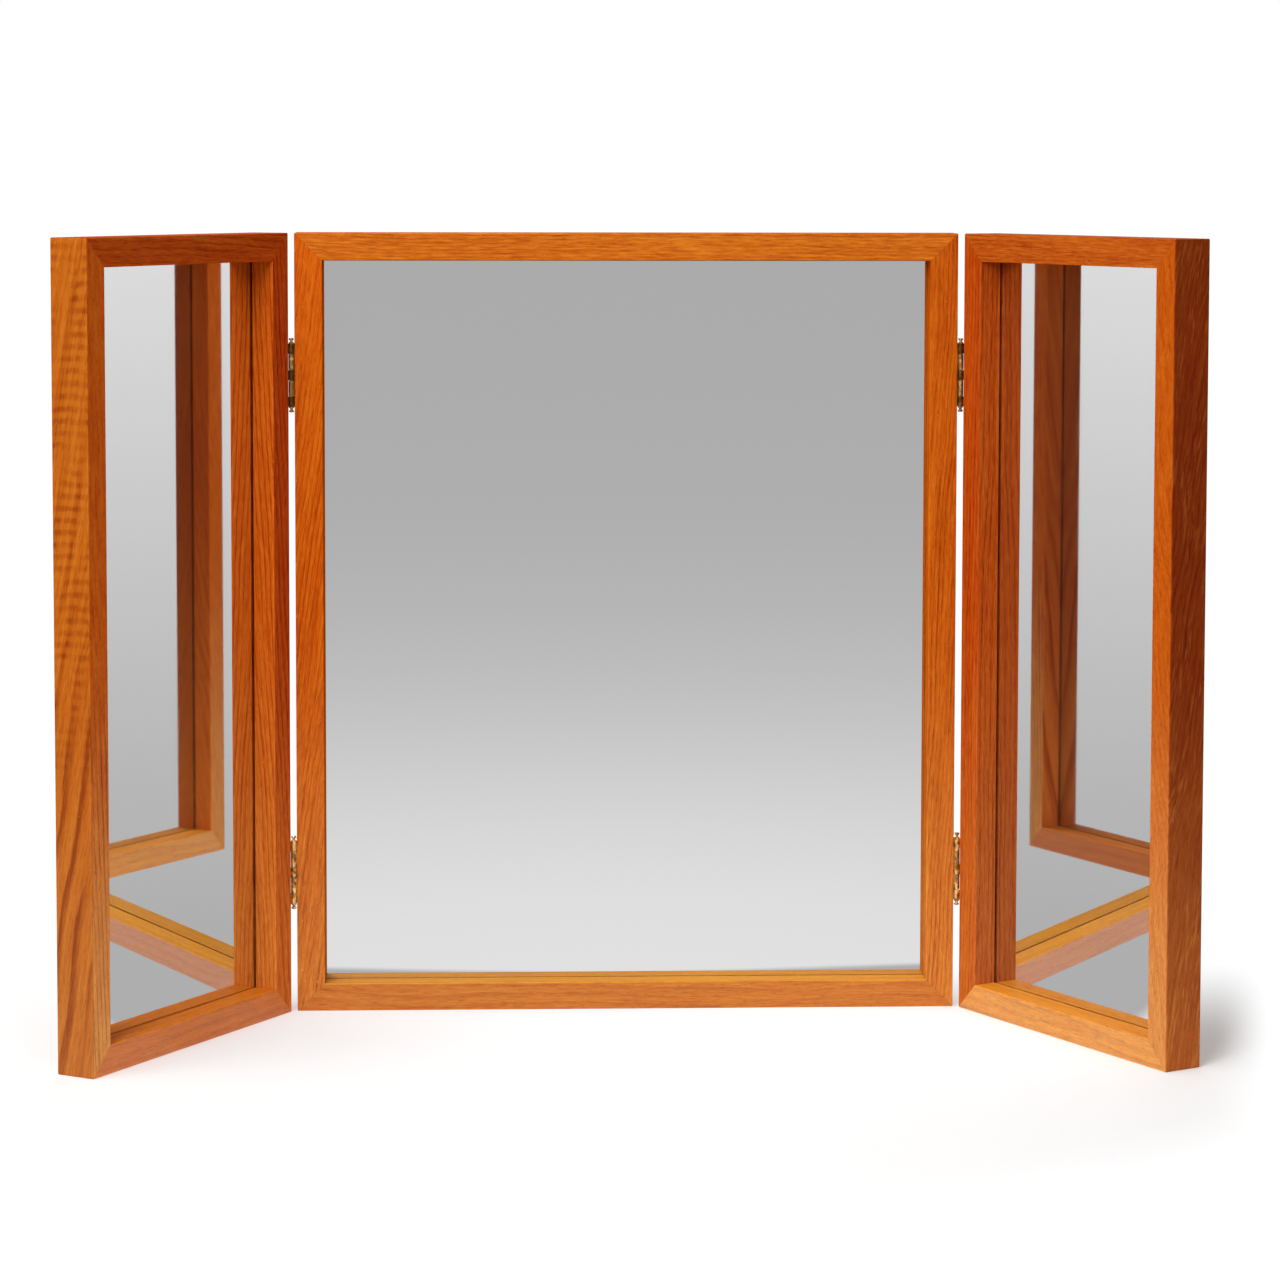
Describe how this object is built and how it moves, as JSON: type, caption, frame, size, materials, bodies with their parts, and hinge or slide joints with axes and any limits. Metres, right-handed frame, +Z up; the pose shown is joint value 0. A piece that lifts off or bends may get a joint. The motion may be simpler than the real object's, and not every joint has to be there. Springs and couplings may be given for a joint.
{
  "type": "folding table mirror",
  "caption": "Folding dressing-table mirror: a mitred teak centre frame with a recessed mirror and narrower wings that swing on brass butt hinges.",
  "frame": {"origin": "middle of the underside of the centre panel's bottom rail, which stands on the table", "axes": "+X to the viewer's right along the centre panel, +Y to the back, +Z up"},
  "size_m": [0.7138, 0.2212, 0.52],
  "materials": {
    "teak": "oiled teak, satin, straight fine grain",
    "silvered_glass": "clear float glass, silvered behind",
    "backing_card": "plain grey-brown card",
    "teak_plywood": "teak-faced plywood, oiled",
    "beech": "bare beech",
    "brass": "drawn brass, dulled with age"
  },
  "bodies": {
    "center_panel": {"center_back_panel": "teak_plywood", "center_back_screws": "brass", "center_backing_card": "backing_card", "center_bottom_rail": "teak", "center_corner_splines": "beech", "center_left_stile": "teak", "center_mirror": "silvered_glass", "center_right_stile": "teak", "center_top_rail": "teak", "left_hinge_center_screws": "brass", "left_lower_hinge_center_leaf": "brass", "left_upper_hinge_center_leaf": "brass", "right_hinge_center_screws": "brass", "right_lower_hinge_center_leaf": "brass", "right_upper_hinge_center_leaf": "brass"},
    "left_wing": {"left_hinge_wing_screws": "brass", "left_lower_hinge_pin": "brass", "left_lower_hinge_pin_tip": "brass", "left_lower_hinge_wing_leaf": "brass", "left_upper_hinge_pin": "brass", "left_upper_hinge_pin_tip": "brass", "left_upper_hinge_wing_leaf": "brass", "left_wing_back_panel": "teak_plywood", "left_wing_back_screws": "brass", "left_wing_backing_card": "backing_card", "left_wing_bottom_rail": "teak", "left_wing_corner_splines": "beech", "left_wing_hinge_stile": "teak", "left_wing_mirror": "silvered_glass", "left_wing_outer_stile": "teak", "left_wing_top_rail": "teak"},
    "right_wing": {"right_hinge_wing_screws": "brass", "right_lower_hinge_pin": "brass", "right_lower_hinge_pin_tip": "brass", "right_lower_hinge_wing_leaf": "brass", "right_upper_hinge_pin": "brass", "right_upper_hinge_pin_tip": "brass", "right_upper_hinge_wing_leaf": "brass", "right_wing_back_panel": "teak_plywood", "right_wing_back_screws": "brass", "right_wing_backing_card": "backing_card", "right_wing_bottom_rail": "teak", "right_wing_corner_splines": "beech", "right_wing_hinge_stile": "teak", "right_wing_mirror": "silvered_glass", "right_wing_outer_stile": "teak", "right_wing_top_rail": "teak"}
  },
  "joints": [
    {"name": "left_wing_fold", "type": "hinge", "parent": "center_panel", "child": "left_wing", "pos_m": [-0.222, -0.01455, 0.26], "axis": [0, 0, 1], "range_deg": [-59, 121]},
    {"name": "right_wing_fold", "type": "hinge", "parent": "center_panel", "child": "right_wing", "pos_m": [0.222, -0.01455, 0.26], "axis": [0, 0, -1], "range_deg": [-61, 119]}
  ]
}
